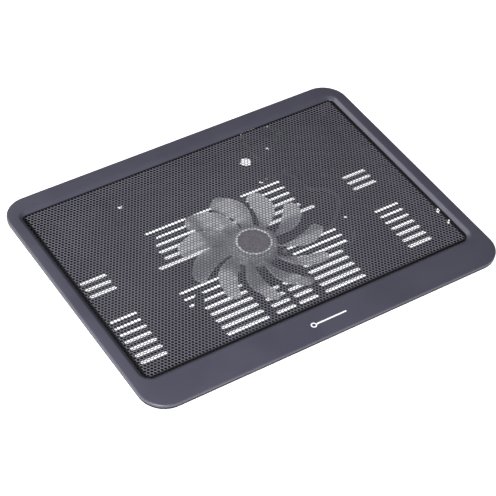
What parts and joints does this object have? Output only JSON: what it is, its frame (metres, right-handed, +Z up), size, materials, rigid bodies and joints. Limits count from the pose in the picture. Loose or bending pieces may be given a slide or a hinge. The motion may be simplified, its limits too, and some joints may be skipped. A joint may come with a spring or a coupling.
{
  "type": "laptop cooling pad",
  "caption": "Flat pad that a laptop stands on: bezel round a perforated screen, large fan beneath it, slotted belly, fold-out rear legs, rear USB socket and slide switch.",
  "frame": {"origin": "middle of the pad's outline, on the plane that the rubber feet stand on", "axes": "+X to the right along the long side, +Y to the back where the legs and socket are, +Z up"},
  "size_m": [0.33, 0.25, 0.024],
  "materials": {
    "bezel_plastic": "satin, dark blue-grey, fine moulded grain",
    "screen_metal": "satin dark grey paint on perforated steel",
    "belly_plastic": "satin, dark grey-violet",
    "silver_print": "bright silver",
    "label_film": "plain grey film",
    "steel": "zinc-plated",
    "rubber": "matt black",
    "black_plastic": "black, satin",
    "bronze": "sintered bronze",
    "copper": "enamelled copper wire",
    "circuit_board": "green solder mask",
    "nylon": "natural white nylon",
    "lamp_lens": "clear lens",
    "red_lead": "red insulation",
    "black_lead": "black insulation",
    "frosted_plastic": "milky translucent moulding",
    "magnet": "dark ferrite"
  },
  "bodies": {
    "housing": {"top_frame": "bezel_plastic", "mesh_screen": "screen_metal", "bottom_shell": "belly_plastic", "board_cover": "belly_plastic", "front_emblem": "silver_print", "underside_label": "label_film", "casing_screw_1": "steel", "casing_screw_2": "steel", "casing_screw_3": "steel", "casing_screw_4": "steel", "casing_screw_5": "steel", "casing_screw_6": "steel", "casing_screw_7": "steel", "casing_screw_8": "steel", "motor_screw_1": "steel", "motor_screw_2": "steel", "motor_screw_3": "steel", "board_screw_1": "steel", "board_screw_2": "steel", "stator_core": "steel", "usb_socket_shell": "steel", "rubber_foot_1": "rubber", "rubber_foot_2": "rubber", "rubber_foot_3": "rubber", "rubber_foot_4": "rubber", "motor_base": "black_plastic", "switch_body": "black_plastic", "bearing_sleeve": "bronze", "stator_coil_1": "copper", "stator_coil_2": "copper", "stator_coil_3": "copper", "stator_coil_4": "copper", "motor_board": "circuit_board", "power_board": "circuit_board", "usb_socket_tongue": "nylon", "lead_header": "nylon", "lead_plug": "nylon", "power_lamp": "lamp_lens", "fan_lead_red": "red_lead", "fan_lead_black": "black_lead"},
    "rotor": {"fan_impeller": "frosted_plastic", "rotor_cup": "steel", "rotor_shaft": "steel", "magnet_ring": "magnet", "shaft_clip": "nylon", "hub_ring": "silver_print", "hub_disc": "black_plastic"},
    "leg_left": {"rear_leg_left": "belly_plastic", "leg_pad_left": "rubber"},
    "leg_right": {"rear_leg_right": "belly_plastic", "leg_pad_right": "rubber"},
    "switch": {"switch_knob": "nylon"}
  },
  "joints": [
    {"name": "fan_spin", "type": "hinge", "parent": "housing", "child": "rotor", "pos_m": [0, -0.0049, 0.01], "axis": [0, 0, 1], "continuous": true},
    {"name": "left_leg_hinge", "type": "hinge", "parent": "housing", "child": "leg_left", "pos_m": [-0.1087, 0.0878, 0.0062], "axis": [1, 0, 0], "range_deg": [0, 100]},
    {"name": "right_leg_hinge", "type": "hinge", "parent": "housing", "child": "leg_right", "pos_m": [0.1087, 0.0878, 0.0062], "axis": [1, 0, 0], "range_deg": [0, 100]},
    {"name": "switch_slide", "type": "slide", "parent": "housing", "child": "switch", "axis": [1, 0, 0], "range_m": [0, 0.002]}
  ]
}
